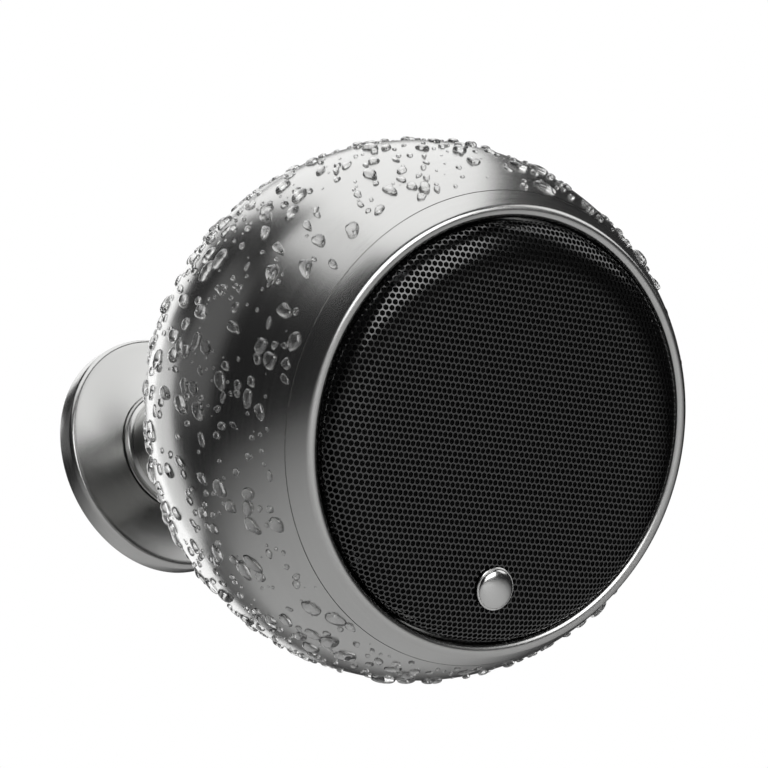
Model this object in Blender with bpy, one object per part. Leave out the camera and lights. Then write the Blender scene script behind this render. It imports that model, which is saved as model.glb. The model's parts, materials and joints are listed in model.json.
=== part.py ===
"""Shower speaker: a steel ball with a full-range driver, on a ball joint at the end of a wall flange's neck.

Frame: the wall is the plane Y = 0, the neck leaves it along -Y, and +Z is up. The origin is the centre of the
flange's back face. Every turned piece is drawn as an outline of (radius, height) in its own frame, in millimetres.
"""

from math import asin, cos, degrees, pi, radians, sin, sqrt

import bmesh
import bpy
from mathutils import Euler, Matrix, Vector

MM = 0.001
GAP = 0.3

# Ball
BALL_R = 51.0
SHELL_T = 2.0
SEAM_Z = 26.85
MOUTH_R = 14.2
LIP_R = 38.6
LIP_ROLL = 1.4
SPIGOT_R = 41.3

# Where the ball stands: its joint's distance from the wall, and the joint's distance behind the ball's centre
PIVOT_OUT = 52.0
PIVOT_BACK = 40.0
AIM_DOWN = 26.8
AIM_SIDE = -8.4

# Wall mount
FLANGE_R = 25.9
FLANGE_T = 4.5
FLANGE_FILLET = 1.1
FLANGE_RISE = 0.75
PLATE_R = 20.9
WALL_SCREW_CIRCLE = 15.0
NECK_R = 11.6
NECK_FLARE = 1.6
NECK_END = 31.0
STEM_R = 4.6
STUD_R = 9.0

# Ball joint
SOCKET_IN = 10.6
SOCKET_OUT = 12.7
HUB_BORE = 13.0
HUB_R = 18.2
HUB_FRONT = -38.4
RETAINER_CIRCLE = 15.9
RETAINER_H = 4.0
SOCKET_LIP = 28.0

# Grille
GRILLE_R = 38.2
GRILLE_FACE = 34.2
GRILLE_EDGE = 27.8
SHOULDER_W = 8.8
SHOULDER_H = 4.6
GRILLE_T = 0.8
BADGE_DROP = 27.6
BADGE_R = 3.9

# Driver
DRIVER_FLANGE_Z = 25.3
DRIVER_R = 37.0
DRIVER_SCREW_CIRCLE = 35.2
MAGNET_R = 28.0
POLE_R = 9.3

# Push terminals, on the lower back of the ball
TERMINAL_TILT = 54.0
TERMINAL_CUP_R = 8.4
TERMINAL_FLANGE_R = 10.8
TERMINAL_FLANGE_Z = 46.6
POST_SPACING = 6.6
POST_R = 2.3

STEPS_LARGE = 32
STEPS_MEDIUM = 18
STEPS_SMALL = 8


def clear_scene():
    for obj in list(bpy.data.objects):
        bpy.data.objects.remove(obj, do_unlink=True)


def material(name, colour, roughness, metallic):
    made = bpy.data.materials.new(name)
    made.use_nodes = True
    shader = made.node_tree.nodes["Principled BSDF"]
    shader.inputs["Base Color"].default_value = (*colour, 1.0)
    shader.inputs["Roughness"].default_value = roughness
    shader.inputs["Metallic"].default_value = metallic
    return made


def arc(centre, radius, start, end, count):
    """Points on a circle in the outline's plane, from start to end degrees, counted from the radius axis."""
    angles = [radians(start + (end - start) * i / (count - 1)) for i in range(count)]
    return [(centre[0] + radius * cos(a), centre[1] + radius * sin(a)) for a in angles]


def sphere_arc(radius, z_from, z_to, count, centre_z=0.0):
    """Points on a sphere about the axis, between two heights measured from its centre."""
    start, end = degrees(asin(z_from / radius)), degrees(asin(z_to / radius))
    return arc((0.0, centre_z), radius, start, end, count)


def finish_mesh(bm, name):
    bmesh.ops.remove_doubles(bm, verts=bm.verts, dist=1e-6)
    bmesh.ops.dissolve_degenerate(bm, edges=bm.edges, dist=1e-7)
    bmesh.ops.recalc_face_normals(bm, faces=bm.faces)
    mesh = bpy.data.meshes.new(name)
    bm.to_mesh(mesh)
    bm.free()
    mesh.shade_smooth()
    mesh.set_sharp_from_angle(angle=radians(30))
    return mesh


def turned_mesh(name, outline, steps):
    """A solid of revolution about Z. An outline that leaves the axis and returns to it stays open there."""
    bm = bmesh.new()
    verts = [bm.verts.new((max(r, 0.0) * MM, 0.0, z * MM)) for r, z in outline]
    pairs = list(zip(verts, verts[1:]))
    on_axis = outline[0][0] <= 0.0 and outline[-1][0] <= 0.0
    if not on_axis:
        pairs.append((verts[-1], verts[0]))
    edges = [bm.edges.new(pair) for pair in pairs]
    bmesh.ops.spin(
        bm, geom=verts + edges, axis=(0, 0, 1), cent=(0, 0, 0), angle=2 * pi, steps=steps,
        use_duplicate=False,
    )
    return finish_mesh(bm, name)


def add(name, mesh, look, parent, location=(0, 0, 0), rotation=(0, 0, 0)):
    obj = bpy.data.objects.new(name, mesh)
    bpy.context.scene.collection.objects.link(obj)
    obj.parent = parent
    obj.location = Vector(location) * MM
    obj.rotation_euler = rotation
    if look is not None:
        mesh.materials.append(look)
    return obj


def turned(name, outline, look, parent, steps=STEPS_MEDIUM, location=(0, 0, 0), rotation=(0, 0, 0)):
    return add(name, turned_mesh(name, outline, steps), look, parent, location, rotation)


def empty(name, parent, location, rotation):
    made = bpy.data.objects.new(name, None)
    bpy.context.scene.collection.objects.link(made)
    made.parent = parent
    made.location = Vector(location) * MM
    made.rotation_euler = rotation
    return made


def cut(target, name, bores, parent):
    """Cuts round bores, each (x, y, z of its middle, radius, length, direction), with one hidden cutter."""
    bm = bmesh.new()
    for middle, radius, length, direction in bores:
        turn = Vector(direction).to_track_quat("Z", "Y").to_matrix().to_4x4()
        place = Matrix.Translation(Vector(middle) * MM) @ turn
        sides = STEPS_SMALL if radius < 4.0 else STEPS_MEDIUM
        bmesh.ops.create_cone(
            bm, cap_ends=True, segments=sides, radius1=radius * MM, radius2=radius * MM,
            depth=length * MM, matrix=place,
        )
    bmesh.ops.recalc_face_normals(bm, faces=bm.faces)
    mesh = bpy.data.meshes.new(name)
    bm.to_mesh(mesh)
    bm.free()
    cutter = add(name, mesh, None, parent)
    cutter.hide_render = True
    cutter.display_type = "WIRE"
    modifier = target.modifiers.new(name, "BOOLEAN")
    modifier.operation = "DIFFERENCE"
    modifier.object = cutter
    modifier.solver = "EXACT"


def on_circle(radius, count, first_degrees=0.0):
    angles = [radians(first_degrees + 360.0 * i / count) for i in range(count)]
    return [(radius * cos(a), radius * sin(a)) for a in angles]


def ring(inner, outer, low, high):
    return [(inner, low), (outer, low), (outer, high), (inner, high)]


def screw_outline(head_r, head_h, shank_r, shank_length):
    """A domed screw: the head's seat is at height 0 and the shank points down."""
    return [
        (0.0, -shank_length), (shank_r * 0.7, -shank_length), (shank_r, -shank_length + 0.5),
        (shank_r, 0.0), (head_r, 0.0), (head_r, head_h * 0.4), (head_r * 0.7, head_h * 0.85), (0.0, head_h),
    ]


def build_wall_mount(looks, base):
    """The fixed side. The frame's Z axis leaves the wall, so heights are distances from the wall."""
    face = FLANGE_T - FLANGE_FILLET
    top = FLANGE_T + FLANGE_RISE
    pocket_r = PLATE_R + 0.5
    flange = [(pocket_r, 0.0), (FLANGE_R - 0.4, 0.0), (FLANGE_R, 0.4)]
    flange += arc((FLANGE_R - FLANGE_FILLET, face), FLANGE_FILLET, 0.0, 84.0, 6)
    flange += [(NECK_R + NECK_FLARE + 0.2, top), (9.3, top), (9.3, 2.5), (pocket_r, 2.5)]
    turned("wall_flange", flange, looks["steel"], base, STEPS_LARGE)

    plate_outline = [(0, 0), (PLATE_R, 0), (PLATE_R, 2.1), (8.6, 2.1), (8.6, 5.2), (0, 5.2)]
    plate = turned("wall_plate", plate_outline, looks["zinc"], base)
    screws = on_circle(WALL_SCREW_CIRCLE, 3, 90.0)
    bores = [((x, y, 1.0), 2.3, 4.0, (0, 0, 1)) for x, y in screws]
    cut(plate, "cut_wall_screws", bores + [((0, 0, 5.0), 3.3, 6.0, (0, 0, 1))], base)
    for i, (x, y) in enumerate(screws):
        outline = [(0, 0.1), (1.9, 0.1), (1.9, 2.2), (0, 2.2)]
        turned(f"wall_screw_{i + 1}", outline, looks["zinc"], base, STEPS_SMALL, (x, y, 0))

    foot = top + GAP
    neck = [(3.4, foot), (NECK_R + NECK_FLARE, foot)]
    neck += arc((NECK_R + NECK_FLARE, foot + NECK_FLARE), NECK_FLARE, 262.0, 180.0, 5)
    neck += [(NECK_R, NECK_END - 1.2), (NECK_R - 0.4, NECK_END - 0.35), (NECK_R - 1.3, NECK_END)]
    neck += [(STEM_R + 0.6, NECK_END + 1.6), (3.4, NECK_END + 1.6)]
    neck_obj = turned("neck", neck, looks["steel"], base, STEPS_LARGE)
    screw_z = NECK_END - 9.0
    cut(neck_obj, "cut_grub", [((0, 7.0, screw_z), 1.6, 12.0, (0, 1, 0))], base)
    grub = [(0, -2.6), (1.3, -2.6), (1.3, 2.6), (0, 2.6)]
    turned("grub_screw", grub, looks["zinc"], base, STEPS_SMALL, (0, 7.6, screw_z), (radians(90), 0, 0))

    stud = [(0.0, 2.5), (2.8, 2.5), (2.8, NECK_END + 1.0), (3.0, NECK_END + 2.0)]
    stud += [(STEM_R, NECK_END + 2.4)]
    start = -sqrt(STUD_R**2 - STEM_R**2)
    stud += sphere_arc(STUD_R, start, STUD_R - 0.001, 9, PIVOT_OUT)
    stud[-1] = (0.0, PIVOT_OUT + STUD_R)
    turned("ball_stud", stud, looks["polished"], base)


def build_seat(looks, spin):
    """The nylon friction seat, a cap between the stud's ball and the socket, about the neck's axis."""
    inner, outer = STUD_R + GAP, SOCKET_IN - GAP
    outline = arc((0, 0), outer, 22.0, 84.0, 6) + arc((0, 0), inner, 84.0, 22.0, 6)
    turned("friction_seat", outline, looks["nylon"], spin, STEPS_MEDIUM)


def build_socket(looks, socket):
    """Origin at the joint's centre, Z along the ball's own axis. The lip holds the stud's ball from behind."""
    cup = arc((0, 0), SOCKET_IN, -SOCKET_LIP, 12.0, 7)
    cup += [(14.0, 2.2), (14.0, 1.95), (SOCKET_OUT, 1.95), (SOCKET_OUT, -5.6)]
    cup += [(SOCKET_IN * cos(radians(SOCKET_LIP)) + 0.5, -5.6)]
    turned("socket_cup", cup, looks["zinc"], socket)
    cap = [(0.0, SOCKET_IN)] + arc((0, 0), SOCKET_IN, 80.0, 15.0, 6)
    cap += [(SOCKET_OUT, cap[-1][1])] + arc((0, 0), SOCKET_OUT + 0.4, 18.0, 80.0, 5)
    cap += [(0.0, SOCKET_OUT + 0.4)]
    turned("socket_cap", cap, looks["zinc"], socket)


def shell_outline():
    """The rear shell, with the hub that turns on the socket and the groove for its seal."""
    edge = SEAM_Z - GAP / 2
    outer = sphere_arc(BALL_R, edge, -sqrt(BALL_R**2 - MOUTH_R**2), 16)
    inner_r = BALL_R - SHELL_T
    hub = [(HUB_BORE + 0.5, outer[-1][1] + 0.5), (HUB_BORE, -47.2), (HUB_BORE, -43.0), (14.1, -43.0)]
    hub += [(14.1, -41.8), (HUB_BORE, -41.8), (HUB_BORE, HUB_FRONT), (HUB_R, HUB_FRONT)]
    rebate_r = SPIGOT_R + GAP
    inner = sphere_arc(inner_r, -sqrt(inner_r**2 - HUB_R**2), sqrt(inner_r**2 - rebate_r**2), 10)
    inner.append((rebate_r, edge))
    return outer + hub + inner


def build_shell(looks, ball):
    shell = turned("rear_shell", shell_outline(), looks["steel"], ball, STEPS_LARGE)
    screws = on_circle(RETAINER_CIRCLE, 3)
    bores = [((x, y, HUB_FRONT - 1.5), 1.2, 6.0, (0, 0, 1)) for x, y in screws]
    tilt = radians(TERMINAL_TILT)
    out = Vector((0, -sin(tilt), -cos(tilt)))
    hole = ((out * (BALL_R - 1.0))[:], TERMINAL_CUP_R + GAP, 12.0, out[:])
    cut(shell, "cut_shell_bores", bores + [hole], ball)

    low = HUB_FRONT + GAP
    high = low + RETAINER_H
    outline = [(14.4, low), (18.0, low), (18.0, high), (13.0, high), (13.0, high - 1.4), (14.4, high - 1.4)]
    retainer = turned("socket_retainer", outline, looks["zinc"], ball)
    bores = [((x, y, low + RETAINER_H / 2), 1.2, 2 * RETAINER_H, (0, 0, 1)) for x, y in screws]
    cut(retainer, "cut_retainer", bores, ball)
    for i, (x, y) in enumerate(screws):
        outline = screw_outline(1.9, 1.3, 0.85, 7.2)
        turned(f"retainer_screw_{i + 1}", outline, looks["zinc"], ball, STEPS_SMALL, (x, y, high + GAP))

    turned("swivel_seal", arc((13.42, -42.4), 0.36, 0, 300, 6), looks["rubber"], ball)
    turned("body_seal", arc((42.4, 22.5), 0.55, 0, 300, 6), looks["rubber"], ball, STEPS_LARGE)


def build_bezel(looks, ball):
    """The front ring: the ball's surface runs into a rolled lip, and a ledge inside carries the driver."""
    centre_r = LIP_R + LIP_ROLL
    centre_z = sqrt((BALL_R - LIP_ROLL) ** 2 - centre_r**2)
    tangent = degrees(asin(centre_z / (BALL_R - LIP_ROLL)))
    outline = sphere_arc(BALL_R, SEAM_Z + GAP / 2, BALL_R * sin(radians(tangent)), 8)[:-1]
    outline += arc((centre_r, centre_z), LIP_ROLL, tangent, 180.0, 8)
    outline += [(LIP_R, 24.2), (32.2, 24.2), (32.2, 22.2), (39.2, 22.2), (39.2, 20.4), (SPIGOT_R, 20.4)]
    outline += [(SPIGOT_R, SEAM_Z + GAP / 2)]
    bezel = turned("front_bezel", outline, looks["steel"], ball, STEPS_LARGE)
    bores = [((x, y, 23.5), 1.5, 5.0, (0, 0, 1)) for x, y in on_circle(DRIVER_SCREW_CIRCLE, 4, 45.0)]
    cut(bezel, "cut_ledge", bores, ball)


def grille_height(r):
    """Height of the grille's outer face: flat, then an elliptical shoulder down to its edge."""
    flat_r = GRILLE_R + 0.2 - SHOULDER_W
    if r <= flat_r:
        return GRILLE_FACE
    return GRILLE_FACE - SHOULDER_H * (1 - sqrt(1 - ((r - flat_r) / SHOULDER_W) ** 2))


def build_grille(looks, ball):
    flat_r = GRILLE_R + 0.2 - SHOULDER_W
    leans = [sin(radians(90 * i / 6)) for i in range(7)]
    shoulder = [flat_r + (GRILLE_R - flat_r) * lean for lean in leans]
    outer = [(0.0, GRILLE_FACE)] + [(r, grille_height(r)) for r in shoulder] + [(GRILLE_R, GRILLE_EDGE)]
    inner = [(0.0, GRILLE_FACE - GRILLE_T)]
    inner += [(r - GRILLE_T * lean, grille_height(r) - GRILLE_T) for r, lean in zip(shoulder[:-1], leans)]
    inner += [(GRILLE_R - GRILLE_T, GRILLE_EDGE)]
    grille = turned("grille", outer + inner[::-1], looks["mesh"], ball, STEPS_LARGE)
    cut(grille, "cut_badge_pin", [((0, -BADGE_DROP, GRILLE_FACE), 1.1, 4.0, (0, 0, 1))], ball)
    turned("grille_carrier", ring(DRIVER_R + 0.4, GRILLE_R, 24.6, GRILLE_EDGE - 0.4), looks["black"], ball, STEPS_LARGE)
    foot, dome = 0.75, 1.15
    badge = [(0.0, -2.6), (0.8, -2.6), (0.8, GAP), (BADGE_R, GAP), (BADGE_R, foot)]
    badge += [(BADGE_R * cos(radians(a)), foot + dome * sin(radians(a))) for a in (15, 30, 45, 60, 75)]
    badge += [(0.0, foot + dome)]
    turned("badge", badge, looks["polished"], ball, STEPS_MEDIUM, (0, -BADGE_DROP, GRILLE_FACE))


def build_driver(looks, ball):
    z = DRIVER_FLANGE_Z
    screws = on_circle(DRIVER_SCREW_CIRCLE, 4, 45.0)
    turned("driver_gasket", ring(32.5, 33.7, z - 0.8, z - GAP), looks["rubber"], ball)
    wall = 1.2
    basket = [(30.9, z + 1.2), (DRIVER_R, z + 1.2), (DRIVER_R, z), (31.9, z), (31.9, z - 2.5)]
    basket += [(29.5, 12.0), (26.0, 4.4), (11.0, 4.4), (11.0, 4.4 + wall), (25.2, 4.4 + wall)]
    basket += [(28.2, 12.3), (24.6, 12.6), (24.6, 13.6), (28.6, 13.6), (30.7, z - 2.3)]
    frame = turned("driver_basket", basket, looks["black"], ball)
    windows = [((x, y, 9.0), 3.2, 12.0, (x, y, 0)) for x, y in on_circle(28.0, 6, 15.0)]
    bores = [((x, y, z + 1), 1.5, 5.0, (0, 0, 1)) for x, y in screws]
    cut(frame, "cut_basket", windows + bores, ball)
    for i, (x, y) in enumerate(screws):
        outline = screw_outline(2.0, 1.4, 1.15, 5.6)
        turned(f"driver_screw_{i + 1}", outline, looks["zinc"], ball, STEPS_SMALL, (x, y, z + 1.2 + GAP))

    turned("top_plate", ring(10.9, 26.0, 1.0, 4.1), looks["zinc"], ball)
    turned("magnet", ring(13.0, MAGNET_R, -9.0, 0.7), looks["ferrite"], ball)
    yoke = [(2.0, -12.4), (26.0, -12.4), (26.0, -9.3), (POLE_R, -9.3), (POLE_R, 4.4), (2.0, 4.4)]
    turned("back_plate", yoke, looks["zinc"], ball)

    felt = [(21.0, -30.0), (24.5, -30.0), (27.5, -25.5), (31.5, -18.5), (31.5, -16.5), (24.0, -16.5)]
    felt += [(20.0, -24.0)]
    turned("damping_ring", felt, looks["felt"], ball, 20)


def build_cone(looks, motor):
    """The moving diaphragm. Z is the direction it moves in, and heights are the ball's own."""
    sheet = 0.5
    surround = [(26.9, 24.2), (27.6, 25.2)] + arc((29.2, 25.9), 1.5, 160, 20, 5) + [(30.5, 25.4)]
    under = arc((29.2, 25.9), 1.5 - sheet, 20, 160, 5)
    turned("surround", surround + [(30.5, 24.9)] + under + [(27.4, 24.6), (27.1, 23.8)], looks["rubber"], motor)
    cone = [(10.7, 13.9)] + [(10.7 + 16.0 * t, 13.9 + 9.9 * t**0.85) for t in (0.25, 0.5, 0.75, 1.0)]
    lower = [(r - 0.05 + 0.3 * (r < 12), h - sheet) for r, h in reversed(cone)]
    turned("cone", cone + lower, looks["cone"], motor)
    leans = [radians(a) for a in (20, 40, 60, 75, 90)]
    dome = [(0.0, 18.7)] + [(10.2 * sin(a), 14.9 + 3.8 * cos(a)) for a in leans]
    inner = [(9.7 * sin(a), 14.9 + 3.3 * cos(a)) for a in reversed(leans)] + [(0.0, 18.2)]
    turned("dust_cap", dome + inner, looks["cone"], motor, 24)
    turned("voice_coil_former", ring(9.65, 10.0, 1.6, 14.5), looks["nylon"], motor, 24)
    waves = [(10.7 + 13.4 * i / 9, 11.9 + 0.55 * (-1) ** i) for i in range(10)]
    turned("spider", waves + [(r, h - 0.4) for r, h in reversed(waves)], looks["spider"], motor, 24)


def build_terminals(looks, ball):
    """The recessed terminal cup. Its own Z axis points out of the ball."""
    tilt = radians(TERMINAL_TILT)
    turn = Vector((0, -sin(tilt), -cos(tilt))).to_track_quat("Z", "X").to_euler()
    outer, inner = TERMINAL_CUP_R, TERMINAL_CUP_R - 0.9
    rim_z = sqrt(BALL_R**2 - outer**2)
    flange_z, flange_r = TERMINAL_FLANGE_Z, TERMINAL_FLANGE_R
    cup = [(0, 39.8), (outer, 39.8), (outer, flange_z - 1.5), (flange_r, flange_z - 1.5)]
    cup += [(flange_r, flange_z), (outer, flange_z), (outer, rim_z - 0.2), (outer - 0.3, rim_z)]
    cup += [(inner, rim_z - 0.1), (inner, 41.2), (0, 41.2)]
    body = turned("terminal_cup", cup, looks["black"], ball, STEPS_MEDIUM, rotation=turn)
    frame = empty("terminal_frame", ball, (0, 0, 0), turn)
    posts = {"red": -POST_SPACING / 2, "black": POST_SPACING / 2}
    bores = [((x, 0, 40.5), 1.1, 6.0, (0, 0, 1)) for x in posts.values()]
    cut(body, "cut_terminal_cup", bores, frame)
    for colour, x in posts.items():
        sleeve = [(1.4, 41.5), (2.0, 41.5), (2.0, 43.4), (1.4, 43.4)]
        turned(f"terminal_sleeve_{colour}", sleeve, looks["brass"], frame, STEPS_SMALL, (x, 0, 0))
        axis = empty(f"push_{colour}", frame, (x, 0, 0), (0, 0, 0))
        cap = [(0, 39.2), (0.8, 39.2), (0.8, 45.8), (POST_R, 45.8), (POST_R, 48.7), (POST_R - 0.5, 49.2)]
        turned(f"push_post_{colour}", cap + [(0, 49.2)], looks[f"plastic_{colour}"], axis, STEPS_SMALL)
    gasket = ring(outer + 0.5, flange_r - 0.2, flange_z + 0.25, flange_z + 0.55)
    turned("terminal_gasket", gasket, looks["rubber"], ball, STEPS_MEDIUM, rotation=turn)


def build_leads(looks, ball):
    """Two insulated leads from the terminal cup to the driver's tabs, held along the shell's inner side."""
    for name, side in (("lead_red", -1), ("lead_black", 1)):
        points = [(side * 3.3, -31.2, -22.7), (side * 4.4, -33.8, -17.5), (side * 5.5, -37.2, -9.0)]
        points += [(side * 6.5, -37.6, 0.0), (side * 6.6, -35.0, 8.0), (side * 6.0, -32.6, 12.5)]
        curve = bpy.data.curves.new(name, "CURVE")
        curve.dimensions = "3D"
        curve.bevel_depth = 0.6 * MM
        curve.bevel_resolution = 2
        curve.use_fill_caps = True
        spline = curve.splines.new("POLY")
        smooth = smooth_route(points, 4)
        spline.points.add(len(smooth) - 1)
        for point, place in zip(spline.points, smooth):
            point.co = (*(place * MM), 1.0)
        add(name, curve, looks["plastic_red" if side < 0 else "plastic_black"], ball)


def smooth_route(points, between):
    """A smooth curve through the points, by Catmull-Rom pieces."""
    knots = [Vector(p) for p in points]
    knots = [2 * knots[0] - knots[1]] + knots + [2 * knots[-1] - knots[-2]]
    route = []
    for a, b, c, d in zip(knots, knots[1:], knots[2:], knots[3:]):
        for i in range(between):
            t = i / between
            bend = (2 * a - 5 * b + 4 * c - d) * t**2 + (3 * b - a - 3 * c + d) * t**3
            route.append(0.5 * (2 * b + (c - a) * t + bend))
    return route + [knots[-2]]


def main():
    clear_scene()
    looks = {
        "steel": material("brushed_steel", (0.62, 0.62, 0.61), 0.3, 1.0),
        "polished": material("polished_steel", (0.75, 0.75, 0.75), 0.12, 1.0),
        "zinc": material("zinc_steel", (0.45, 0.46, 0.47), 0.4, 1.0),
        "mesh": material("black_mesh", (0.015, 0.015, 0.015), 0.4, 0.6),
        "black": material("black_plastic", (0.02, 0.02, 0.02), 0.5, 0.0),
        "rubber": material("rubber", (0.03, 0.03, 0.03), 0.7, 0.0),
        "nylon": material("nylon", (0.8, 0.78, 0.72), 0.5, 0.0),
        "ferrite": material("ferrite", (0.06, 0.06, 0.065), 0.6, 0.2),
        "felt": material("felt", (0.35, 0.35, 0.36), 0.95, 0.0),
        "cone": material("cone_paper", (0.05, 0.05, 0.05), 0.8, 0.0),
        "spider": material("spider_cloth", (0.6, 0.45, 0.15), 0.9, 0.0),
        "brass": material("brass", (0.75, 0.58, 0.25), 0.3, 1.0),
        "plastic_red": material("red_plastic", (0.5, 0.02, 0.02), 0.4, 0.0),
        "plastic_black": material("lead_black", (0.02, 0.02, 0.02), 0.4, 0.0),
    }
    out_of_wall = Euler((radians(90), 0, 0))
    base = empty("wall_mount", None, (0, 0, 0), out_of_wall)
    build_wall_mount(looks, base)
    spin = empty("seat_spin", base, (0, 0, PIVOT_OUT), (0, 0, 0))
    build_seat(looks, spin)
    aim = Euler((radians(90 + AIM_DOWN), 0, radians(AIM_SIDE)))
    socket = empty("ball_tilt", None, (0, -PIVOT_OUT, 0), aim)
    build_socket(looks, socket)
    ball = empty("ball_centre", socket, (0, 0, PIVOT_BACK), (0, 0, 0))
    build_shell(looks, ball)
    build_bezel(looks, ball)
    build_grille(looks, ball)
    build_driver(looks, ball)
    motor = empty("cone_slide", ball, (0, 0, 0), (0, 0, 0))
    build_cone(looks, motor)
    build_terminals(looks, ball)
    build_leads(looks, ball)
    bpy.context.view_layer.update()


main()
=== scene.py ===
"""Looks for the shower speaker: finer skins for the turned steel, a perforated grille, water drops,
materials, a plain studio and the camera.

Outlines are points of (radius, height) in millimetres, scaled by MM. Lights and the floor are in metres.
The ball's own frame has its origin at the ball's centre and its Z axis out through the grille. The wall
mount's own frame has its Z axis out of the wall.
"""

import json
import random
from math import asin, cos, degrees, pi, radians, sin, sqrt

import bmesh
import bpy
import numpy as np
from mathutils import Matrix, Vector

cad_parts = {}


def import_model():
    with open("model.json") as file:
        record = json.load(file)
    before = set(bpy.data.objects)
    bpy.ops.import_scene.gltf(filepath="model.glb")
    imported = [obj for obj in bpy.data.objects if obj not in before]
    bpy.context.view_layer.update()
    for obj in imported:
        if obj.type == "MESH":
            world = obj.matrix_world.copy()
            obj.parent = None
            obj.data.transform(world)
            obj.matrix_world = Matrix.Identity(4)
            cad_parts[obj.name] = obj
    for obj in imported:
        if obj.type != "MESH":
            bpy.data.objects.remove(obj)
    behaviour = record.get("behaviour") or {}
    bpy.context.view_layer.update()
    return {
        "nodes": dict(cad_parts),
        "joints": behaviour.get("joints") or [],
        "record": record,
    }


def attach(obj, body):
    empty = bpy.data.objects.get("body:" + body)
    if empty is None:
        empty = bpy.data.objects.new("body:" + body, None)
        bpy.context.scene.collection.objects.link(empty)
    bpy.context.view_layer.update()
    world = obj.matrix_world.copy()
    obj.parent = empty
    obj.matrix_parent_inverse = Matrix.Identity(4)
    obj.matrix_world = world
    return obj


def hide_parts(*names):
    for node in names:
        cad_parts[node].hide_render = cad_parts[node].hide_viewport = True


MM = 0.001

# The CAD model's driving dimensions
GAP = 0.3
BALL_R = 51.0
SHELL_T = 2.0
SEAM_Z = 26.85
MOUTH_R = 14.2
PIVOT_BACK = 40.0
HUB_BORE = 13.0
HUB_R = 18.2
HUB_BACK = -47.2
HUB_FRONT = -38.4
GROOVE_R = 14.1
GROOVE_BACK = -43.0
GROOVE_FRONT = -41.8
LIP_R = 38.6
LIP_ROLL = 1.4
SPIGOT_R = 41.3
SPIGOT_IN = 39.2
SPIGOT_END = 20.4
LEDGE_R = 32.2
LEDGE_FRONT = 24.2
LEDGE_BACK = 22.2
FLANGE_R = 25.9
FLANGE_T = 4.5
FLANGE_FILLET = 1.1
FLANGE_RISE = 0.75
FLANGE_BORE = 9.3
POCKET_R = 21.4
POCKET_DEPTH = 2.5
NECK_R = 11.6
NECK_FLARE = 1.6
NECK_END = 31.0
NECK_BORE = 3.4
STEM_R = 4.6
GRILLE_R = 38.2
GRILLE_FACE = 34.2
GRILLE_EDGE = 27.8
SHOULDER_W = 8.8
SHOULDER_H = 4.6
FLAT_R = GRILLE_R + 0.2 - SHOULDER_W
BADGE_DROP = 27.6
BADGE_R = 3.9
TERMINAL_TILT = 54.0
TERMINAL_CUP_R = 8.4

# Edges as the finer skins have them
SEAM_GAP = 0.16
SEAM_DEPTH = 0.7
SEAM_UNDERCUT = 0.5
MOUTH_ROUND = 0.5
FOOT_ROUND = 0.4
FACE_HOLLOW = 0.22
NECK_ROUND = 1.2
HEM_W = 0.8
HEM_H = 1.35

# The grille's holes: pitch along a row, distance between rows, and the hole's share of its cell
HOLE_PITCH = 1.06
ROW_PITCH = 1.09
HOLE_SHARE = 0.8
MESH_T = 0.35
SHEET_MARGIN = 0.45

# A cell's corners round its hole, on a grid of a quarter of a pitch by a sixth of a row
CELL = [(2, 0), (2, 2), (1, 3), (0, 4), (-1, 3), (-2, 2)]
CELL += [(-i, -j) for i, j in CELL]

# Brushing: the width of a line in millimetres, and how often it breaks on its way round
FINE_LINES = (0.16, 2.2)
COARSE_LINES = (0.9, 1.2)
STEEL = (0.68, 0.68, 0.67)

# Water drops: how far a drop's foot lies in the steel, its greatest half width, and how far it may stand out
DROP_FOOT = 0.06
DROP_WIDEST = 1.25
DROP_PROUD = 0.25

# Where no drop lies: further back than this, this near the seam, and this many degrees round the terminals
DRY_BACK = -46.0
DRY_FRONT = 1.2
DRY_TERMINAL = 14.0

# The camera: its direction from the ball, its roll, its distance, and where the frame's middle lies
CAMERA_AZ = -43.0
CAMERA_EL = -19.35
CAMERA_ROLL = -6.06
CAMERA_DISTANCE = 474.3
CAMERA_LENS = 117.2
FRAME_LEFT = 5.88
FRAME_UP = 4.93

# Soft boxes round the ball: azimuth and elevation in degrees from the camera's own, distance, width, height
# and radiance
SOFT_BOXES = {
    "top_box": (-168.0, 68.0, 0.6, 0.5, 1.16, 1.2),
    "left_back_box": (-156.0, -3.0, 0.7, 0.36, 0.62, 1.25),
    "left_box": (-132.0, -7.0, 0.7, 0.3, 0.47, 0.8),
    "left_fill_box": (-104.0, 18.0, 0.7, 0.3, 0.5, 0.12),
    "right_box": (99.0, 37.0, 0.8, 0.43, 0.46, 1.2),
    "front_box": (31.0, 29.0, 0.9, 0.75, 0.5, 2.6),
    "upper_left_box": (-72.0, 60.0, 0.6, 0.4, 0.17, 0.9),
}
STUDIO_GREY = (0.014, 0.014, 0.0144, 1.0)

# The floor: its height, its half width, and its glow as the steel mirrors it and as the camera sees it
FLOOR_Z = -0.32
FLOOR_HALF = 1.6
FLOOR_GLOW = 0.1
FLOOR_GLOW_SEEN = 0.75

ROUND_STEPS = 256
SMALL_STEPS = 96


# ---------- outlines and turned meshes ----------


def arc(centre, radius, start, end, count):
    angles = [radians(start + (end - start) * i / (count - 1)) for i in range(count)]
    return [(centre[0] + radius * cos(a), centre[1] + radius * sin(a)) for a in angles]


def sphere_arc(radius, z_from, z_to, count):
    return arc((0.0, 0.0), radius, degrees(asin(z_from / radius)), degrees(asin(z_to / radius)), count)


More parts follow.
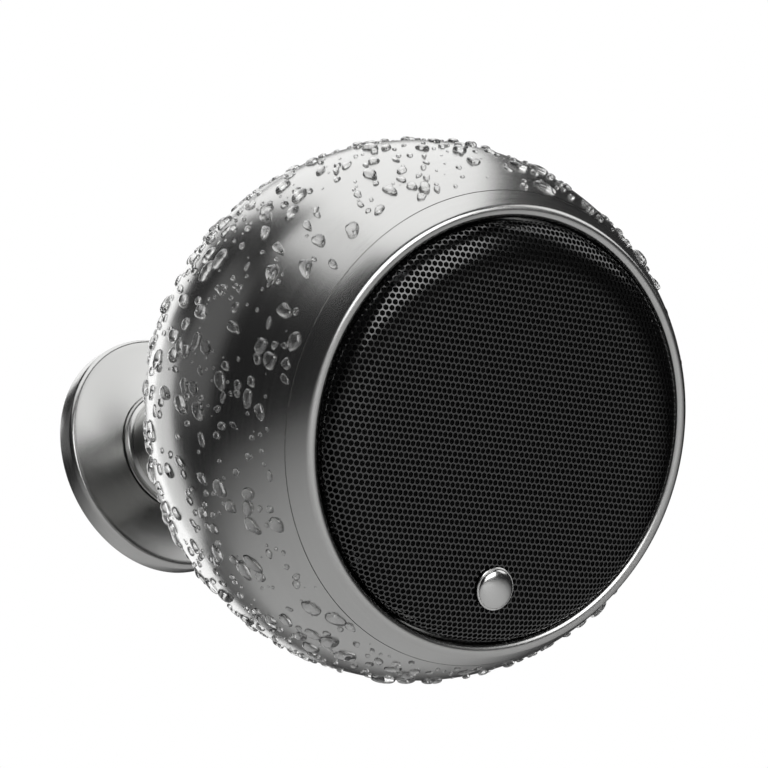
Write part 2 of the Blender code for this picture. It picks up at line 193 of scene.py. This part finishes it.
def turned(name, outline, place, steps=ROUND_STEPS):
    """A solid of revolution about its frame's Z axis, from an outline of (radius, height)."""
    outline = [(max(r, 0.0) * MM, z * MM) for r, z in outline]
    on_axis = outline[0][0] == 0.0 and outline[-1][0] == 0.0
    points = np.array(outline)
    turns = np.arange(steps) * 2 * pi / steps
    ring_of = np.stack(
        [points[:, 0][None] * np.cos(turns)[:, None], points[:, 0][None] * np.sin(turns)[:, None],
         np.broadcast_to(points[:, 1], (steps, len(points)))], axis=2,
    )
    count = len(points)
    spans = count - 1 if on_axis else count
    faces = []
    for i in range(steps):
        a, b = i * count, ((i + 1) % steps) * count
        faces += [(a + j, b + j, b + (j + 1) % count, a + (j + 1) % count) for j in range(spans)]
    mesh = bpy.data.meshes.new(name)
    mesh.from_pydata(ring_of.reshape(-1, 3).tolist(), [], faces)
    mesh.transform(place)
    bm = bmesh.new()
    bm.from_mesh(mesh)
    bmesh.ops.remove_doubles(bm, verts=bm.verts, dist=1e-7)
    bmesh.ops.recalc_face_normals(bm, faces=bm.faces)
    bm.to_mesh(mesh)
    bm.free()
    mesh.shade_smooth()
    mesh.set_sharp_from_angle(angle=radians(38))
    return linked(name, mesh)


def linked(name, mesh):
    obj = bpy.data.objects.new(name, mesh)
    bpy.context.scene.collection.objects.link(obj)
    return obj


# ---------- materials ----------


class Nodes:
    """A short way to build a material's node tree."""

    def __init__(self, name):
        self.material = bpy.data.materials.new(name)
        self.material.use_nodes = True
        self.tree = self.material.node_tree
        self.shader = self.tree.nodes["Principled BSDF"]

    def add(self, kind, settings=None, **inputs):
        node = self.tree.nodes.new(kind)
        for key, value in (settings or {}).items():
            setattr(node, key, value)
        for key, value in inputs.items():
            self.feed(node.inputs[key.replace("_", " ")], value)
        return node

    def feed(self, socket, value):
        if isinstance(value, bpy.types.NodeSocket):
            self.tree.links.new(value, socket)
        else:
            socket.default_value = value

    def math(self, operation, a, b=0.0):
        node = self.tree.nodes.new("ShaderNodeMath")
        node.operation = operation
        self.feed(node.inputs[0], a)
        self.feed(node.inputs[1], b)
        return node.outputs[0]

    def span(self, value, low, high, from_low=0.0, from_high=1.0):
        node = self.tree.nodes.new("ShaderNodeMapRange")
        ends = {"From Min": from_low, "From Max": from_high, "To Min": low, "To Max": high}
        for key, number in ends.items():
            node.inputs[key].default_value = number
        self.feed(node.inputs["Value"], value)
        return node.outputs["Result"]

    def place(self):
        return self.tree.nodes.new("ShaderNodeTexCoord").outputs["Object"]

    def noise(self, vector, scale, detail=4.0, roughness=0.55):
        node = self.add("ShaderNodeTexNoise", None, Scale=scale, Detail=detail, Roughness=roughness)
        self.feed(node.inputs["Vector"], vector)
        return node.outputs["Fac"]

    def bump(self, height, strength, distance):
        node = self.add("ShaderNodeBump", None, Strength=strength, Distance=distance)
        self.feed(node.inputs["Height"], height)
        return node.outputs["Normal"]

    def ramp(self, value, low, high):
        node = self.tree.nodes.new("ShaderNodeValToRGB")
        node.color_ramp.elements[0].color = (*low, 1.0)
        node.color_ramp.elements[1].color = (*high, 1.0)
        self.feed(node.inputs["Fac"], value)
        return node.outputs["Color"]

    def shade(self, **inputs):
        for key, value in inputs.items():
            self.feed(self.shader.inputs[key.replace("_", " ")], value)


def in_frame(made, place):
    """Points of the surface in a turned piece's own frame, in metres."""
    back = made.tree.nodes.new("ShaderNodeMapping")
    back.vector_type = "TEXTURE"
    back.inputs["Location"].default_value = place.translation
    back.inputs["Rotation"].default_value = place.to_euler()
    made.feed(back.inputs["Vector"], made.place())
    return back.outputs[0]


def round_axis(made, place):
    """The direction of the turning lines at each point of the surface."""
    cross = made.add("ShaderNodeVectorMath", {"operation": "CROSS_PRODUCT"})
    offset = made.add("ShaderNodeVectorMath", {"operation": "SUBTRACT"})
    made.feed(offset.inputs[0], made.place())
    offset.inputs[1].default_value = place.translation
    cross.inputs[0].default_value = place.to_3x3().col[2]
    made.feed(cross.inputs[1], offset.outputs[0])
    settings = {"vector_type": "VECTOR", "convert_from": "OBJECT", "convert_to": "WORLD"}
    turn = made.add("ShaderNodeVectorTransform", settings)
    made.feed(turn.inputs[0], cross.outputs[0])
    unit = made.add("ShaderNodeVectorMath", {"operation": "NORMALIZE"})
    made.feed(unit.inputs[0], turn.outputs[0])
    return unit.outputs[0]


def turned_grain(made, place, width, turns):
    """Noise drawn out round the axis: fine across the turning lines, long along them."""
    axes = made.tree.nodes.new("ShaderNodeSeparateXYZ")
    made.feed(axes.inputs[0], in_frame(made, place))
    x, y, z = axes.outputs
    squares = made.math("ADD", made.math("MULTIPLY", x, x), made.math("MULTIPLY", y, y))
    r = made.math("MAXIMUM", made.math("SQRT", squares), 1e-5)
    around = made.tree.nodes.new("ShaderNodeCombineXYZ")
    made.feed(around.inputs[0], made.math("MULTIPLY", made.math("DIVIDE", x, r), turns))
    made.feed(around.inputs[1], made.math("MULTIPLY", made.math("DIVIDE", y, r), turns))
    made.feed(around.inputs[2], made.math("DIVIDE", made.math("SUBTRACT", r, z), width * MM))
    grain = made.add("ShaderNodeTexNoise", None, Scale=1.0, Detail=2.0, Roughness=0.6)
    made.feed(grain.inputs["Vector"], around.outputs[0])
    return grain.outputs["Fac"]


def brushed_steel(name, place, roughness, anisotropy, grain_depth):
    """Steel brushed on a lathe: fine and coarse lines round the axis, and a slow drift in how rough it is."""
    made = Nodes(name)
    fine = turned_grain(made, place, *FINE_LINES)
    coarse = turned_grain(made, place, *COARSE_LINES)
    cloud = made.noise(made.place(), 45.0, 3.0)
    worn = made.math("ADD", made.math("MULTIPLY", fine, 0.6), made.math("MULTIPLY", coarse, 0.4))
    streaks = made.span(worn, -0.03, 0.03, 0.3, 0.7)
    shade = tuple(c * 0.92 for c in STEEL)
    made.shade(
        Base_Color=made.ramp(made.span(worn, 0.0, 1.0, 0.3, 0.7), shade, STEEL), Metallic=1.0,
        Roughness=made.math("ADD", streaks, made.span(cloud, roughness - 0.02, roughness + 0.02)),
        Tangent=round_axis(made, place), Normal=made.bump(fine, grain_depth, 0.00001),
    )
    made.shader.inputs["Anisotropic"].default_value = anisotropy
    return made.material


def polished_steel():
    """Smooth steel with a faint haze."""
    made = Nodes("look_polished_steel")
    haze = made.noise(made.place(), 700.0, 3.0)
    made.shade(
        Base_Color=(0.78, 0.78, 0.77, 1.0), Metallic=1.0, Roughness=made.span(haze, 0.15, 0.25),
        Normal=made.bump(haze, 0.05, 0.00002),
    )
    return made.material


def plated_metal(name, colour):
    """Zinc plate or brass: small crystals under a soft mottle."""
    made = Nodes(name)
    grain = 350.0
    crystals = made.add("ShaderNodeTexVoronoi", None, Scale=grain)
    made.feed(crystals.inputs["Vector"], made.place())
    soft = made.noise(made.place(), grain * 2.0)
    made.shade(
        Base_Color=made.ramp(soft, tuple(c * 0.75 for c in colour), colour), Metallic=1.0,
        Roughness=made.span(soft, 0.28, 0.5), Normal=made.bump(crystals.outputs["Distance"], 0.1, 0.00004),
    )
    return made.material


def moulded(name, colour, low_rough, high_rough, grain, depth):
    """Plastic, rubber, paper or ferrite: a mottled colour, varied roughness and a fine raised grain."""
    made = Nodes(name)
    fine = made.noise(made.place(), grain, 3.0)
    broad = made.noise(made.place(), grain * 0.08, 4.0)
    dark, light = (tuple(min(1.0, c * share) for c in colour) for share in (0.75, 1.15))
    made.shade(
        Base_Color=made.ramp(broad, dark, light), Roughness=made.span(broad, low_rough, high_rough),
        Normal=made.bump(fine, depth, 0.00008),
    )
    return made.material


def woven(name, colour, pitch):
    """Cloth or felt: waves crossed along three axes, and loose fibre noise."""
    made = Nodes(name)
    height = None
    for direction in ("X", "Y", "Z"):
        wave = made.add("ShaderNodeTexWave", {"bands_direction": direction}, Scale=1.0 / (pitch * MM * 3.0))
        made.feed(wave.inputs["Vector"], made.place())
        height = wave.outputs["Fac"] if height is None else made.math("ADD", height, wave.outputs["Fac"])
    fibre = made.noise(made.place(), 1400.0, 5.0)
    made.shade(
        Base_Color=made.ramp(fibre, tuple(c * 0.6 for c in colour), colour), Roughness=0.95,
        Normal=made.bump(made.math("ADD", height, fibre), 0.4, 0.0001),
    )
    return made.material


def black_paint():
    """Glossy black paint with a slight orange peel."""
    made = Nodes("look_black_mesh")
    orange_peel = made.noise(made.place(), 2500.0, 2.0)
    broad = made.noise(made.place(), 120.0, 3.0)
    made.shade(
        Base_Color=made.ramp(broad, (0.002, 0.002, 0.002), (0.004, 0.004, 0.004)), Metallic=0.0,
        Roughness=made.span(broad, 0.17, 0.24), Normal=made.bump(orange_peel, 0.05, 0.00002),
    )
    made.shader.inputs["IOR"].default_value = 2.0
    return made.material


def water():
    """Clear water, with a strong mirror on top so that drops show on dark steel."""
    made = Nodes("look_water")
    ripple = made.noise(made.place(), 500.0, 2.0)
    made.shade(Base_Color=(1.0, 1.0, 1.0, 1.0), Normal=made.bump(ripple, 0.04, 0.00005))
    clear = {"Roughness": 0.0, "IOR": 1.4, "Transmission Weight": 0.99, "Coat Weight": 1.0, "Coat IOR": 1.9}
    for socket, value in clear.items():
        made.shader.inputs[socket].default_value = value
    return made.material


def make_looks(ball, wall):
    """One look for each material slot that the CAD nodes use, and the wall mount's own turned steel."""
    return {
        "brushed_steel": brushed_steel("look_brushed_steel", ball, 0.24, 0.6, 0.16),
        "turned_steel": brushed_steel("look_turned_steel", wall, 0.24, 0.5, 0.08),
        "polished_steel": polished_steel(),
        "zinc_steel": plated_metal("look_zinc_steel", (0.48, 0.49, 0.5)),
        "brass": plated_metal("look_brass", (0.75, 0.58, 0.25)),
        "black_mesh": black_paint(),
        "black_plastic": moulded("look_black_plastic", (0.02, 0.02, 0.021), 0.42, 0.58, 2200.0, 0.25),
        "red_plastic": moulded("look_red_plastic", (0.5, 0.02, 0.02), 0.3, 0.45, 2200.0, 0.15),
        "rubber": moulded("look_rubber", (0.03, 0.03, 0.03), 0.65, 0.85, 1500.0, 0.3),
        "nylon": moulded("look_nylon", (0.78, 0.76, 0.7), 0.4, 0.55, 900.0, 0.12),
        "ferrite": moulded("look_ferrite", (0.06, 0.06, 0.065), 0.5, 0.75, 1200.0, 0.5),
        "cone_paper": moulded("look_cone_paper", (0.04, 0.04, 0.042), 0.7, 0.9, 1800.0, 0.6),
        "felt": woven("look_felt", (0.35, 0.35, 0.36), 0.9),
        "spider_cloth": woven("look_spider_cloth", (0.6, 0.45, 0.15), 0.5),
    }


def wear(obj, look):
    obj.data.materials.clear()
    obj.data.materials.append(look)


# ---------- the steel skins ----------


def ball_shell(place):
    """The rear shell: an undercut seam edge, a rounded mouth, and the hub inside with its seal's groove."""
    edge = SEAM_Z - SEAM_GAP / 2
    inner_r = BALL_R - SHELL_T
    rebate_r = SPIGOT_R + GAP
    mouth_z = -sqrt(BALL_R**2 - MOUTH_R**2)
    outline = [(sqrt(BALL_R**2 - edge**2) - SEAM_DEPTH, edge - SEAM_UNDERCUT)]
    outline += sphere_arc(BALL_R, edge, mouth_z, 110)
    outline += arc((MOUTH_R - 0.1, mouth_z + MOUTH_ROUND), MOUTH_ROUND, 262.0, 190.0, 5)
    outline += [(HUB_BORE, HUB_BACK), (HUB_BORE, GROOVE_BACK), (GROOVE_R, GROOVE_BACK)]
    outline += [(GROOVE_R, GROOVE_FRONT), (HUB_BORE, GROOVE_FRONT), (HUB_BORE, HUB_FRONT), (HUB_R, HUB_FRONT)]
    outline += sphere_arc(inner_r, -sqrt(inner_r**2 - HUB_R**2), sqrt(inner_r**2 - rebate_r**2), 40)
    outline.append((rebate_r, edge - SEAM_UNDERCUT))
    shell = turned("ball_shell_skin", outline, place)
    bore_terminals(shell, place)
    return shell


def bore_terminals(shell, place):
    """The round opening that the terminal cup sits in, at the lower back."""
    tilt = radians(TERMINAL_TILT)
    out = Vector((0, -sin(tilt), -cos(tilt)))
    turn = out.to_track_quat("Z", "X").to_matrix().to_4x4()
    where = Matrix.Translation(out * (BALL_R - SHELL_T / 2) * MM) @ turn
    radius = (TERMINAL_CUP_R + GAP) * MM
    length = 6 * SHELL_T * MM
    bm = bmesh.new()
    bmesh.ops.create_cone(
        bm, cap_ends=True, segments=72, radius1=radius, radius2=radius, depth=length, matrix=where
    )
    mesh = bpy.data.meshes.new("terminal_bore")
    bm.to_mesh(mesh)
    bm.free()
    mesh.transform(place)
    cutter = linked("terminal_bore", mesh)
    modifier = shell.modifiers.new("terminal_bore", "BOOLEAN")
    modifier.object = cutter
    modifier.solver = "EXACT"
    settle(shell)
    bpy.data.objects.remove(cutter)


def settle(obj):
    """Turns the object's modifiers into plain mesh."""
    bpy.context.view_layer.update()
    graph = bpy.context.evaluated_depsgraph_get()
    mesh = bpy.data.meshes.new_from_object(obj.evaluated_get(graph))
    obj.modifiers.clear()
    obj.data = mesh


def front_bezel(place):
    """The front ring: the ball's surface runs into the rolled lip, and a ledge inside carries the driver."""
    centre_r = LIP_R + LIP_ROLL
    centre_z = sqrt((BALL_R - LIP_ROLL) ** 2 - centre_r**2)
    tangent = degrees(asin(centre_z / (BALL_R - LIP_ROLL)))
    edge = SEAM_Z + SEAM_GAP / 2
    outline = [(sqrt(BALL_R**2 - edge**2) - SEAM_DEPTH, edge + SEAM_UNDERCUT)]
    outline += sphere_arc(BALL_R, edge, BALL_R * sin(radians(tangent)), 24)[:-1]
    outline += arc((centre_r, centre_z), LIP_ROLL, tangent, 180.0, 20)
    outline += [(LIP_R, LEDGE_FRONT), (LEDGE_R, LEDGE_FRONT), (LEDGE_R, LEDGE_BACK), (SPIGOT_IN, LEDGE_BACK)]
    outline += [(SPIGOT_IN, SPIGOT_END), (SPIGOT_R, SPIGOT_END), (SPIGOT_R, edge + SEAM_UNDERCUT)]
    return turned("front_bezel_skin", outline, place)


def wall_flange(place):
    """The wall disc: a rounded foot, a fillet, and a face that rises a little hollow towards the neck."""
    top = FLANGE_T + FLANGE_RISE
    outline = [(POCKET_R, 0.0), (FLANGE_R - FOOT_ROUND, 0.0)]
    outline += arc((FLANGE_R - FOOT_ROUND, FOOT_ROUND), FOOT_ROUND, 275.0, 360.0, 5)
    outline += arc((FLANGE_R - FLANGE_FILLET, FLANGE_T - FLANGE_FILLET), FLANGE_FILLET, 0.0, 84.0, 14)
    start_r, start_z = outline[-1]
    inner = NECK_R + NECK_FLARE + 0.2
    steps = 16
    for i in range(1, steps + 1):
        t = i / steps
        hollow = FACE_HOLLOW * sin(pi * t)
        outline.append((start_r + (inner - start_r) * t, start_z + (top - start_z) * t - hollow))
    step_z = top - 0.25
    outline += [(inner - 0.12, step_z), (FLANGE_BORE, step_z)]
    outline += [(FLANGE_BORE, POCKET_DEPTH), (POCKET_R, POCKET_DEPTH)]
    return turned("wall_flange_skin", outline, place)


def neck(place):
    """The neck: a flared foot, a barrel with rings that keep its shading straight, and a rounded end."""
    foot = FLANGE_T + FLANGE_RISE + GAP
    flare_r = NECK_R + NECK_FLARE
    outline = [(NECK_BORE, foot), (flare_r - 0.2, foot), (flare_r, foot + 0.15)]
    outline += arc((flare_r, foot + NECK_FLARE + 0.35), NECK_FLARE, 268.0, 180.0, 14)
    outline += [(NECK_R, z) for z in (14.0, 20.0, NECK_END - NECK_ROUND - 0.2)]
    outline += arc((NECK_R - NECK_ROUND, NECK_END - NECK_ROUND), NECK_ROUND, 0.0, 70.0, 8)
    outline += [(STEM_R + 0.6, NECK_END + 1.6), (NECK_BORE, NECK_END + 1.6)]
    return turned("neck_skin", outline, place)


# ---------- the grille ----------


def dish(radius):
    """The (radius, height), once the sheet is pressed, of a point this far from the flat sheet's middle."""
    if radius <= FLAT_R:
        return radius, GRILLE_FACE
    left = radius - FLAT_R
    last = asin((GRILLE_R - FLAT_R) / SHOULDER_W)
    angle = 0.0
    step = last / 200
    while left > 0 and angle < last:
        left -= step * sqrt((SHOULDER_W * cos(angle)) ** 2 + (SHOULDER_H * sin(angle)) ** 2)
        angle += step
    r = FLAT_R + SHOULDER_W * sin(min(angle, last))
    z = GRILLE_FACE - SHOULDER_H * (1 - cos(min(angle, last)))
    return (r, z) if left <= 0 else (GRILLE_R, z - left)


def sheet_reach():
    """The radius in the flat sheet of the dish's lower edge."""
    radius = GRILLE_R
    while dish(radius)[1] > GRILLE_EDGE + 1.0:
        radius += 0.05
    return radius


def grid_point(i, j):
    return i * HOLE_PITCH / 4, j * ROW_PITCH / 6


def hole_outline():
    """A hole's outline round its middle: the cell's own outline, shrunk and partly rounded."""
    corners = [grid_point(i, j) for i, j in CELL]
    sizes = [sqrt(x * x + y * y) for x, y in corners]
    mean = sum(sizes) / len(sizes)
    shares = [HOLE_SHARE * (0.35 + 0.65 * mean / size) for size in sizes]
    return [(x * share, y * share) for (x, y), share in zip(corners, shares)]


def flat_sheet(reach):
    """The flat sheet's points and faces: staggered rows of cells, each a ring of faces round its hole."""
    hole = hole_outline()
    corners = {}
    points = []
    faces = []

    def corner(i, j):
        """A corner that neighbouring cells share."""
        if (i, j) not in corners:
            corners[(i, j)] = len(points)
            points.append(grid_point(i, j))
        return corners[(i, j)]

    rows = int(reach / ROW_PITCH) + 1
    columns = int(reach / HOLE_PITCH) + 1
    for row in range(-rows, rows + 1):
        for column in range(-columns, columns + 1):
            i, j = 4 * column + 2 * (row % 2), 6 * row
            x, y = grid_point(i, j)
            if sqrt(x * x + y * y) > reach - SHEET_MARGIN:
                continue
            ring = [corner(i + a, j + b) for a, b in CELL]
            first = len(points)
            points.extend((x + a, y + b) for a, b in hole)
            for k in range(len(CELL)):
                n = (k + 1) % len(CELL)
                faces.append((ring[k], ring[n], first + n, first + k))
    return np.array(points), faces


def pressed(flat, reach):
    """The flat sheet's points after it is pressed into a dish."""
    table_r = np.linspace(0.0, reach + 0.5, 900)
    table = np.array([dish(r) for r in table_r])
    radius = np.hypot(flat[:, 0], flat[:, 1])
    scale = np.interp(radius, table_r, table[:, 0]) / np.maximum(radius, 1e-9)
    height = np.interp(radius, table_r, table[:, 1])
    return np.stack([flat[:, 0] * scale, flat[:, 1] * scale, height], axis=1)


def perforated_sheet(place):
    reach = sheet_reach()
    flat, faces = flat_sheet(reach)
    mesh = bpy.data.meshes.new("grille_mesh")
    mesh.from_pydata((pressed(flat, reach) * MM).tolist(), [], faces)
    mesh.transform(place)
    mesh.update()
    mesh.shade_smooth()
    obj = linked("grille_mesh", mesh)
    thick = obj.modifiers.new("sheet", "SOLIDIFY")
    thick.thickness = MESH_T * MM
    thick.offset = -1.0
    settle(obj)
    obj.data.set_sharp_from_angle(angle=radians(40))
    return obj


def grille_hem(place):
    """The plain rolled edge that the perforated sheet ends in."""
    inner, top = GRILLE_R - HEM_W, GRILLE_EDGE + HEM_H
    outline = [(inner, GRILLE_EDGE), (GRILLE_R, GRILLE_EDGE), (GRILLE_R, top - 0.25)]
    outline += [(GRILLE_R - 0.15, top), (GRILLE_R - 0.5, top), (inner, top - 0.35)]
    return turned("grille_hem", outline, place)


def grille_scrim(place):
    """The black water-repellent cloth behind the sheet."""
    falls = [(0.0, 0.7), (29.6, 0.75), (33.5, 1.35), (36.4, 2.7)]
    falls += [(36.2, 2.9), (33.3, 1.55), (29.6, 0.9), (0.0, 0.85)]
    outline = [(r, GRILLE_FACE - fall) for r, fall in falls]
    return turned("grille_scrim", outline, place, 128)


def badge(place):
    """A plain polished dome with one fine step round its foot."""
    where = place @ Matrix.Translation(Vector((0, -BADGE_DROP, GRILLE_FACE)) * MM)
    foot, rise, dome_r = 0.72, 1.15, BADGE_R - 0.3
    pin_r, pin_z = 0.8, -2.6
    outline = [(0.0, pin_z), (pin_r, pin_z), (pin_r, GAP), (BADGE_R - 0.1, GAP), (BADGE_R, 0.4)]
    outline += [(BADGE_R, foot - 0.1), (BADGE_R - 0.12, foot), (dome_r, foot)]
    leans = [radians(90 * i / 20) for i in range(1, 20)]
    outline += [(dome_r * cos(a), foot + rise * sin(a)) for a in leans]
    outline.append((0.0, foot + rise))
    return turned("badge_dome", outline, where, SMALL_STEPS)


# ---------- water ----------


def drop_points(rng, centre, drip, half_length, half_width, height, rings, sides):
    """One drop: an uneven outline that leans along the drip, domed, with its foot just in the steel."""
    across = centre.cross(drip).normalized()
    waves = [(rng.uniform(0.0, 0.3 / k), rng.uniform(0, 2 * pi), k) for k in (2, 3, 4, 5)]
    lean = rng.uniform(-0.15, 0.35)
    points = [centre * (BALL_R + height)]
    for j in range(1, rings + 1):
        t = j / rings
        rise = height * sqrt(max(0.0, 1 - t**2.4)) if j < rings else -DROP_FOOT
        for k in range(sides):
            a = 2 * pi * k / sides
            out = t * (1 + sum(size * cos(n * a + turn) for size, turn, n in waves))
            along = half_length * out * cos(a) + lean * half_length * (1 - t * t)
            wide = half_width * out * sin(a) * (1 - 0.25 * cos(a))
            direction = (centre * BALL_R + drip * along + across * wide).normalized()
            points.append(direction * (BALL_R + rise))
    return points


def drop_faces(first, rings, sides):
    faces = [(first, first + 1 + k, first + 1 + (k + 1) % sides) for k in range(sides)]
    for j in range(rings - 1):
        a = first + 1 + j * sides
        b = a + sides
        faces += [(a + k, b + k, b + (k + 1) % sides, a + (k + 1) % sides) for k in range(sides)]
    last = first + 1 + (rings - 1) * sides
    return faces + [tuple(last + k for k in reversed(range(sides)))]


def dry(centre):
    """No drops on the front band, round the joint's mouth or over the terminals."""
    z = centre.z * BALL_R
    tilt = radians(TERMINAL_TILT)
    terminals = Vector((0, -sin(tilt), -cos(tilt)))
    on_terminals = centre.dot(terminals) > cos(radians(DRY_TERMINAL))
    return z > SEAM_Z - DRY_FRONT or z < DRY_BACK or on_terminals


def headroom(place, centre):
    """How far a drop may stand out of the steel: little where the ball touches the box round it."""
    widest = max(abs(c) for c in place.to_3x3() @ centre)
    return BALL_R * (1 / widest - 1) + DROP_PROUD


def water_drops(place):
    """Drops at random over the ball, large ones first, none of them on another."""
    rng = random.Random(41)
    down = (place.to_3x3().inverted() @ Vector((0, 0, -1))).normalized()
    points, faces, taken = [], [], []

    def try_drop(half_length, half_width, height, rings, sides):
        z = rng.uniform(-1, 1)
        turn = rng.uniform(0, 2 * pi)
        flat = sqrt(1 - z * z)
        centre = Vector((flat * cos(turn), flat * sin(turn), z))
        if dry(centre):
            return
        room = half_length * 0.8 + 0.1
        if any((centre - other).length * BALL_R < room + reach for other, reach in taken):
            return
        drip = down - centre * down.dot(centre)
        if drip.length < 0.15:
            drip = centre.orthogonal()
        drip.normalize()
        drip = (drip + centre.cross(drip) * rng.uniform(-0.9, 0.9)).normalized()
        taken.append((centre, half_length * rng.uniform(0.45, 0.85)))
        first = len(points)
        height = min(height, headroom(place, centre))
        points.extend(drop_points(rng, centre, drip, half_length, half_width, height, rings, sides))
        faces.extend(drop_faces(first, rings, sides))

    for _ in range(1200):
        half = rng.uniform(0.85, 2.2)
        wide = min(DROP_WIDEST, half * rng.uniform(0.42, 0.85))
        try_drop(half, wide, wide * rng.uniform(0.6, 0.85), 9, 28)
    for _ in range(1600):
        half = rng.uniform(0.4, 0.9)
        wide = half * rng.uniform(0.65, 1.0)
        try_drop(half, wide, wide * rng.uniform(0.6, 0.9), 6, 20)
    for _ in range(1000):
        half = rng.uniform(0.16, 0.4)
        try_drop(half, half * rng.uniform(0.8, 1.0), half * 0.6, 4, 12)
    mesh = bpy.data.meshes.new("water_drops")
    mesh.from_pydata([tuple(p * MM) for p in points], [], faces)
    mesh.transform(place)
    mesh.update()
    mesh.shade_smooth()
    obj = linked("water_drops", mesh)
    obj.visible_shadow = False
    return obj


# ---------- studio ----------


def camera_axes():
    """The camera's right, up and back directions in the part's frame."""
    a, e, roll = radians(CAMERA_AZ), radians(CAMERA_EL), radians(CAMERA_ROLL)
    back = Vector((sin(a) * cos(e), -cos(a) * cos(e), sin(e)))
    level = Vector((cos(a), sin(a), 0.0))
    upright = back.cross(level)
    right = level * cos(roll) + upright * sin(roll)
    return right, back.cross(right), back


def facing(right, up, back, where):
    turn = Matrix((right, up, back)).transposed().to_4x4()
    return Matrix.Translation(where) @ turn


def add_camera(centre):
    right, up, back = camera_axes()
    aim = centre + (up * FRAME_UP - right * FRAME_LEFT) * MM
    data = bpy.data.cameras.new("camera")
    data.lens = CAMERA_LENS
    data.sensor_width = 36.0
    data.clip_start = 0.01
    data.clip_end = 20.0
    obj = bpy.data.objects.new("camera", data)
    bpy.context.scene.collection.objects.link(obj)
    obj.matrix_world = facing(right, up, back, aim + back * CAMERA_DISTANCE * MM)
    bpy.context.scene.camera = obj


def soft_box(name, centre, azimuth, elevation, distance, width, height, radiance):
    """A rectangular light that faces the ball and that the camera doesn't see."""
    right, up, back = camera_axes()
    a, e = radians(azimuth), radians(elevation)
    level = right * sin(a) + back * cos(a)
    side = right * cos(a) - back * sin(a)
    out = level * cos(e) + up * sin(e)
    data = bpy.data.lights.new(name, "AREA")
    data.shape = "RECTANGLE"
    data.size = width
    data.size_y = height
    data.energy = radiance * pi * width * height
    obj = bpy.data.objects.new(name, data)
    bpy.context.scene.collection.objects.link(obj)
    obj.matrix_world = facing(side, out.cross(side), out, centre + out * distance)
    obj.visible_camera = False


def add_lights(centre):
    for name, settings in SOFT_BOXES.items():
        soft_box(name, centre, *settings)


def add_world():
    """White behind the object, and nearly black for everything that the steel mirrors past the soft boxes."""
    world = bpy.data.worlds.new("studio")
    bpy.context.scene.world = world
    world.use_nodes = True
    tree = world.node_tree
    tree.nodes.clear()
    out = tree.nodes.new("ShaderNodeOutputWorld")
    mix = tree.nodes.new("ShaderNodeMixShader")
    path = tree.nodes.new("ShaderNodeLightPath")
    dim, white = (tree.nodes.new("ShaderNodeBackground") for _ in range(2))
    dim.inputs["Color"].default_value = STUDIO_GREY
    white.inputs["Color"].default_value = (1.0, 1.0, 1.0, 1.0)
    tree.links.new(path.outputs["Is Camera Ray"], mix.inputs["Fac"])
    tree.links.new(dim.outputs[0], mix.inputs[1])
    tree.links.new(white.outputs[0], mix.inputs[2])
    tree.links.new(mix.outputs[0], out.inputs["Surface"])
    bpy.context.scene.view_settings.view_transform = "Standard"


def add_floor():
    bm = bmesh.new()
    bmesh.ops.create_grid(bm, x_segments=8, y_segments=8, size=FLOOR_HALF)
    mesh = bpy.data.meshes.new("floor")
    bm.to_mesh(mesh)
    bm.free()
    obj = linked("floor", mesh)
    obj.location = (0, 0, FLOOR_Z)
    made = Nodes("look_floor")
    speckle = made.noise(made.place(), 60.0)
    pale = made.ramp(speckle, (0.74, 0.74, 0.74), (0.8, 0.8, 0.8))
    seen = made.tree.nodes.new("ShaderNodeLightPath").outputs["Is Camera Ray"]
    glow = made.span(seen, FLOOR_GLOW, FLOOR_GLOW_SEEN)
    made.shade(Base_Color=pale, Roughness=0.8, Emission_Color=pale, Emission_Strength=glow)
    wear(obj, made.material)


# ---------- assembly ----------


def ball_place(frame):
    """The ball's own frame, from the joint that turns it about its axis."""
    joint = next(j for j in frame["joints"] if j["name"] == "ball_spin")
    out = Vector(joint["axis"]).normalized()
    side = Vector((0, 0, 1)).cross(out).normalized()
    centre = Vector(joint["pos_m"]) + out * PIVOT_BACK * MM
    return facing(side, out.cross(side), out, centre)


def dress_nodes(frame, looks):
    for part in frame["record"]["subparts"]:
        wear(frame["nodes"][part["node"]], looks[part["material_slot"]])


def show(piece, look, body, slot, *nodes):
    wear(piece, look)
    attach(piece, body)
    if nodes:
        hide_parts(*nodes)


def main():
    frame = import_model()
    ball = ball_place(frame)
    wall = Matrix.Rotation(radians(90), 4, "X")
    add_camera(ball.translation)
    looks = make_looks(ball, wall)
    dress_nodes(frame, looks)
    show(ball_shell(ball), looks["brushed_steel"], "speaker", "brushed_steel", "rear_shell")
    show(front_bezel(ball), looks["brushed_steel"], "speaker", "brushed_steel", "front_bezel")
    show(wall_flange(wall), looks["turned_steel"], "mount", "brushed_steel", "wall_flange")
    show(neck(wall), looks["turned_steel"], "mount", "brushed_steel", "neck")
    show(perforated_sheet(ball), looks["black_mesh"], "speaker", "black_mesh", "grille")
    show(grille_hem(ball), looks["black_mesh"], "speaker", "black_mesh")
    show(grille_scrim(ball), woven("look_scrim", (0.004, 0.004, 0.004), 0.4), "speaker", None)
    show(badge(ball), looks["polished_steel"], "speaker", "polished_steel", "badge")
    show(water_drops(ball), water(), "speaker", None)
    add_lights(ball.translation)
    add_world()
    add_floor()


main()
